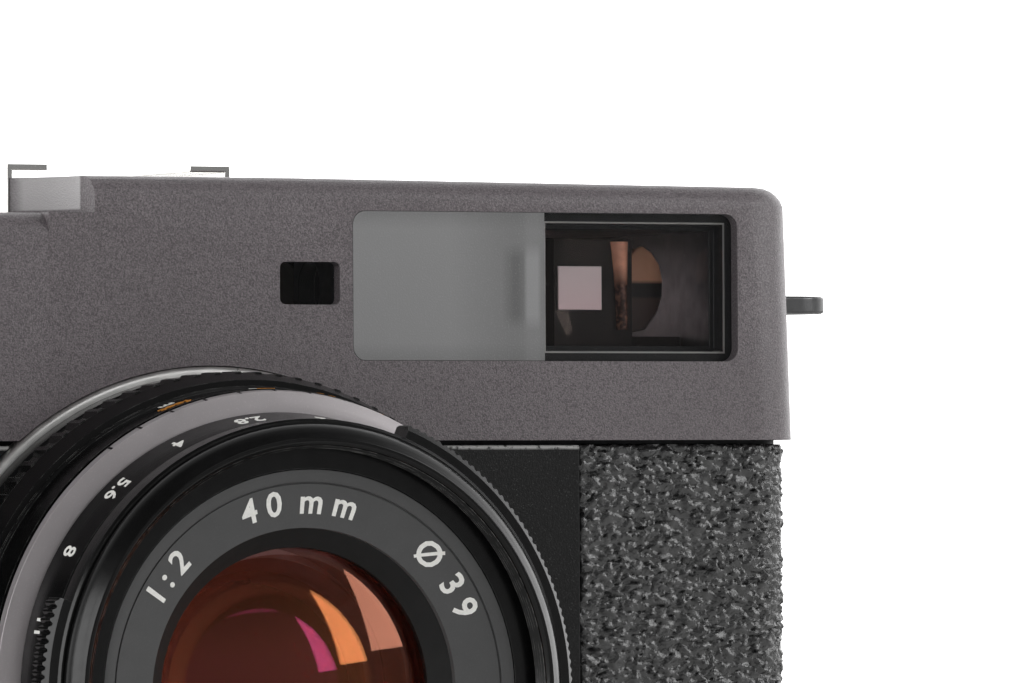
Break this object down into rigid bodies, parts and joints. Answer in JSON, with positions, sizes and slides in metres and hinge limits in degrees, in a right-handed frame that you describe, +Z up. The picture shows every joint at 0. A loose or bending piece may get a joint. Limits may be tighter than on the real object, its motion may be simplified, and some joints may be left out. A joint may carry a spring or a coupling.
{
  "type": "rangefinder camera",
  "caption": "Compact 35 mm film rangefinder camera with a bayonet lens, finder windows, focusing and aperture rings, front speed dial, advance lever, slide-off back and folding rewind crank.",
  "frame": {"origin": "mouth of the tripod socket, on the underside of the base in the middle of the body", "axes": "+X to the right seen from the front, along the body; +Y from the lens towards the back; +Z up"},
  "size_m": [0.1275, 0.0547, 0.0765],
  "materials": {
    "cover_paint": "dark warm grey satin paint with a fine grain",
    "black_paint": "black satin paint",
    "frame_alloy": "die-cast alloy, dark",
    "covering": "black moulded covering with wrinkled bumps, semi-gloss",
    "satin_chrome": "satin chrome",
    "bright_chrome": "bright chrome",
    "dark_steel": "dark grey burnished steel",
    "steel": "bright steel",
    "frosted_glass": "ground window",
    "window_glass": "clear window",
    "coated_glass": "coated lens glass",
    "mirror": "front-silvered mirror",
    "black_plastic": "black plastic",
    "lens_black": "black anodised alloy",
    "lens_grey": "satin grey anodised alloy",
    "blade_steel": "blackened spring steel",
    "cloth": "rubberised shutter cloth"
  },
  "bodies": {
    "camera_body": {"chassis": "frame_alloy", "front_plate": "black_paint", "leather_left": "covering", "leather_right": "covering", "top_cover": "cover_paint", "mount_ring": "satin_chrome", "mount_screws": "steel", "frosted_window": "frosted_glass", "viewfinder_window": "window_glass", "rangefinder_window": "window_glass", "finder_housing": "black_plastic", "finder_lens": "coated_glass", "beamsplitter": "coated_glass", "eyepiece": "black_paint", "eyepiece_lens": "coated_glass", "accessory_shoe": "bright_chrome", "strap_lugs": "dark_steel", "shutter_curtain": "cloth", "tripod_socket": "steel", "release_collar": "satin_chrome", "counter_window": "window_glass", "lens_base": "lens_black"},
    "rangefinder_follower": {"rangefinder_arm": "steel", "rangefinder_mirror": "mirror"},
    "meter_arm": {"meter_arm": "dark_steel"},
    "takeup_spool": {"takeup_spool": "black_plastic"},
    "sprocket": {"sprocket": "steel"},
    "pressure_plate": {"pressure_plate": "black_paint"},
    "back": {"back_cover": "black_paint", "back_leather": "covering"},
    "latch_key": {"latch_key": "steel"},
    "latch_wing": {"latch_wing": "satin_chrome"},
    "rewind_shaft": {"rewind_shaft": "satin_chrome"},
    "rewind_crank": {"rewind_crank": "satin_chrome"},
    "rewind_knob": {"rewind_knob": "black_plastic"},
    "rewind_button": {"rewind_button": "satin_chrome"},
    "release_button": {"release_button": "bright_chrome"},
    "counter_disc": {"counter_disc": "black_plastic"},
    "advance_lever": {"advance_lever": "satin_chrome", "lever_tip": "black_plastic"},
    "shutter_dial": {"shutter_dial": "lens_black"},
    "film_speed_dial": {"film_speed_dial": "satin_chrome"},
    "lens_release": {"lens_release": "bright_chrome"},
    "focus_ring": {"focus_ring": "lens_black", "focus_tab": "black_plastic"},
    "lens_barrel": {"lens_barrel": "lens_black", "depth_ring": "lens_grey", "name_ring": "lens_black", "retaining_ring": "lens_black", "front_glass": "coated_glass", "rear_glass": "coated_glass"},
    "aperture_ring": {"aperture_ring": "lens_black"},
    "iris_blade_1": {"iris_blade_1": "blade_steel"},
    "iris_blade_2": {"iris_blade_2": "blade_steel"},
    "iris_blade_3": {"iris_blade_3": "blade_steel"},
    "iris_blade_4": {"iris_blade_4": "blade_steel"},
    "iris_blade_5": {"iris_blade_5": "blade_steel"},
    "iris_blade_6": {"iris_blade_6": "blade_steel"},
    "iris_blade_7": {"iris_blade_7": "blade_steel"},
    "iris_blade_8": {"iris_blade_8": "blade_steel"}
  },
  "joints": [
    {"name": "lever_stroke", "type": "hinge", "parent": "camera_body", "child": "advance_lever", "pos_m": [-0.037, 0, 0.074], "axis": [0, 0, 1], "range_deg": [0, 130], "stiffness_Nm_per_rad": 0.01, "springref_deg": -11.46},
    {"name": "takeup_turn", "type": "hinge", "parent": "camera_body", "child": "takeup_spool", "pos_m": [-0.044, 0.0008, 0.03], "axis": [0, 0, 1], "range_deg": [0, 231]},
    {"name": "sprocket_turn", "type": "hinge", "parent": "camera_body", "child": "sprocket", "pos_m": [-0.0245, 0.0053, 0.03], "axis": [0, 0, 1], "range_deg": [0, 361]},
    {"name": "counter_turn", "type": "hinge", "parent": "camera_body", "child": "counter_disc", "pos_m": [-0.0215, 0.005, 0.069], "axis": [0, 0, 1], "range_deg": [0, 10.5]},
    {"name": "release_press", "type": "slide", "parent": "camera_body", "child": "release_button", "axis": [0, 0, -1], "range_m": [0, 0.002], "stiffness_N_per_m": 150, "springref_m": -0.001},
    {"name": "shutter_speed_turn", "type": "hinge", "parent": "camera_body", "child": "shutter_dial", "pos_m": [-0.034, -0.018, 0.044], "axis": [0, -1, 0], "range_deg": [-120, 150]},
    {"name": "film_speed_turn", "type": "hinge", "parent": "shutter_dial", "child": "film_speed_dial", "pos_m": [-0.034, -0.021, 0.044], "axis": [0, -1, 0], "range_deg": [-120, 120]},
    {"name": "lens_release_press", "type": "slide", "parent": "camera_body", "child": "lens_release", "axis": [0, 1, 0], "range_m": [0, 0.0015], "stiffness_N_per_m": 200, "springref_m": -0.001},
    {"name": "focus_turn", "type": "hinge", "parent": "camera_body", "child": "focus_ring", "pos_m": [0.0065, -0.022, 0.0335], "axis": [0, -1, 0], "range_deg": [0, 110]},
    {"name": "barrel_travel", "type": "slide", "parent": "camera_body", "child": "lens_barrel", "axis": [0, -1, 0], "range_m": [0, 0.0021]},
    {"name": "rangefinder_follow", "type": "hinge", "parent": "camera_body", "child": "rangefinder_follower", "pos_m": [0.0152, -0.0095, 0.06], "axis": [0, 0, 1], "range_deg": [0, 4.05]},
    {"name": "aperture_turn", "type": "hinge", "parent": "lens_barrel", "child": "aperture_ring", "pos_m": [0.0065, -0.034, 0.0335], "axis": [0, -1, 0], "range_deg": [-92, 8]},
    {"name": "meter_swing", "type": "hinge", "parent": "camera_body", "child": "meter_arm", "pos_m": [-0.011, 0.003, 0.019], "axis": [0, 1, 0], "range_deg": [0, 39], "stiffness_Nm_per_rad": 0.0003, "springref_deg": -28.65},
    {"name": "pressure_tilt", "type": "hinge", "parent": "camera_body", "child": "pressure_plate", "pos_m": [0.0065, 0.0119, 0.0172], "axis": [-1, 0, 0], "range_deg": [0, 1.6], "stiffness_Nm_per_rad": 0.5, "springref_deg": -2.86},
    {"name": "rewind_turn", "type": "hinge", "parent": "camera_body", "child": "rewind_shaft", "pos_m": [0.0445, 0.0005, 0.002], "axis": [0, 0, 1], "continuous": true},
    {"name": "crank_fold", "type": "hinge", "parent": "rewind_shaft", "child": "rewind_crank", "pos_m": [0.0385, 0.0005, 0.00097], "axis": [0, 1, 0], "range_deg": [0, 140]},
    {"name": "crank_knob_spin", "type": "hinge", "parent": "rewind_crank", "child": "rewind_knob", "pos_m": [0.0494, 0.0005, 0.0009], "axis": [0, 0, 1], "continuous": true},
    {"name": "rewind_release_press", "type": "slide", "parent": "camera_body", "child": "rewind_button", "axis": [0, 0, 1], "range_m": [0, 0.0015], "stiffness_N_per_m": 150, "springref_m": -0.001},
    {"name": "back_slide", "type": "slide", "parent": "camera_body", "child": "back", "axis": [0, 0, -1], "range_m": [0, 0.075]},
    {"name": "latch_turn", "type": "hinge", "parent": "back", "child": "latch_key", "pos_m": [-0.046, 0, 0.001], "axis": [0, 0, 1], "range_deg": [0, 90]},
    {"name": "wing_fold", "type": "hinge", "parent": "latch_key", "child": "latch_wing", "pos_m": [-0.046, 0, 0.00085], "axis": [1, 0, 0], "range_deg": [0, 90]},
    {"name": "iris_blade_1_swing", "type": "hinge", "parent": "lens_barrel", "child": "iris_blade_1", "pos_m": [0.0205, -0.02195, 0.0335], "axis": [0, -1, 0], "range_deg": [-3.2, 36.5]},
    {"name": "iris_blade_2_swing", "type": "hinge", "parent": "lens_barrel", "child": "iris_blade_2", "pos_m": [0.0164, -0.02213, 0.0434], "axis": [0, -1, 0], "range_deg": [-3.2, 36.5]},
    {"name": "iris_blade_3_swing", "type": "hinge", "parent": "lens_barrel", "child": "iris_blade_3", "pos_m": [0.0065, -0.02231, 0.0475], "axis": [0, -1, 0], "range_deg": [-3.2, 36.5]},
    {"name": "iris_blade_4_swing", "type": "hinge", "parent": "lens_barrel", "child": "iris_blade_4", "pos_m": [-0.0034, -0.02249, 0.0434], "axis": [0, -1, 0], "range_deg": [-3.2, 36.5]},
    {"name": "iris_blade_5_swing", "type": "hinge", "parent": "lens_barrel", "child": "iris_blade_5", "pos_m": [-0.0075, -0.02267, 0.0335], "axis": [0, -1, 0], "range_deg": [-3.2, 36.5]},
    {"name": "iris_blade_6_swing", "type": "hinge", "parent": "lens_barrel", "child": "iris_blade_6", "pos_m": [-0.0034, -0.02285, 0.0236], "axis": [0, -1, 0], "range_deg": [-3.2, 36.5]},
    {"name": "iris_blade_7_swing", "type": "hinge", "parent": "lens_barrel", "child": "iris_blade_7", "pos_m": [0.0065, -0.02303, 0.0195], "axis": [0, -1, 0], "range_deg": [-3.2, 36.5]},
    {"name": "iris_blade_8_swing", "type": "hinge", "parent": "lens_barrel", "child": "iris_blade_8", "pos_m": [0.0164, -0.02321, 0.0236], "axis": [0, -1, 0], "range_deg": [-3.2, 36.5]}
  ],
  "couplings": [
    {"joint": "takeup_turn", "follows": "lever_stroke", "ratio": 1.7692},
    {"joint": "sprocket_turn", "follows": "lever_stroke", "ratio": 2.7692},
    {"joint": "counter_turn", "follows": "lever_stroke", "ratio": 0.07692},
    {"joint": "focus_turn", "follows": "barrel_travel", "rad_per_m": 914.22},
    {"joint": "rangefinder_follow", "follows": "barrel_travel", "rad_per_m": 33.244},
    {"joint": "iris_blade_1_swing", "follows": "aperture_turn", "ratio": -0.39},
    {"joint": "iris_blade_2_swing", "follows": "aperture_turn", "ratio": -0.39},
    {"joint": "iris_blade_3_swing", "follows": "aperture_turn", "ratio": -0.39},
    {"joint": "iris_blade_4_swing", "follows": "aperture_turn", "ratio": -0.39},
    {"joint": "iris_blade_5_swing", "follows": "aperture_turn", "ratio": -0.39},
    {"joint": "iris_blade_6_swing", "follows": "aperture_turn", "ratio": -0.39},
    {"joint": "iris_blade_7_swing", "follows": "aperture_turn", "ratio": -0.39},
    {"joint": "iris_blade_8_swing", "follows": "aperture_turn", "ratio": -0.39}
  ]
}
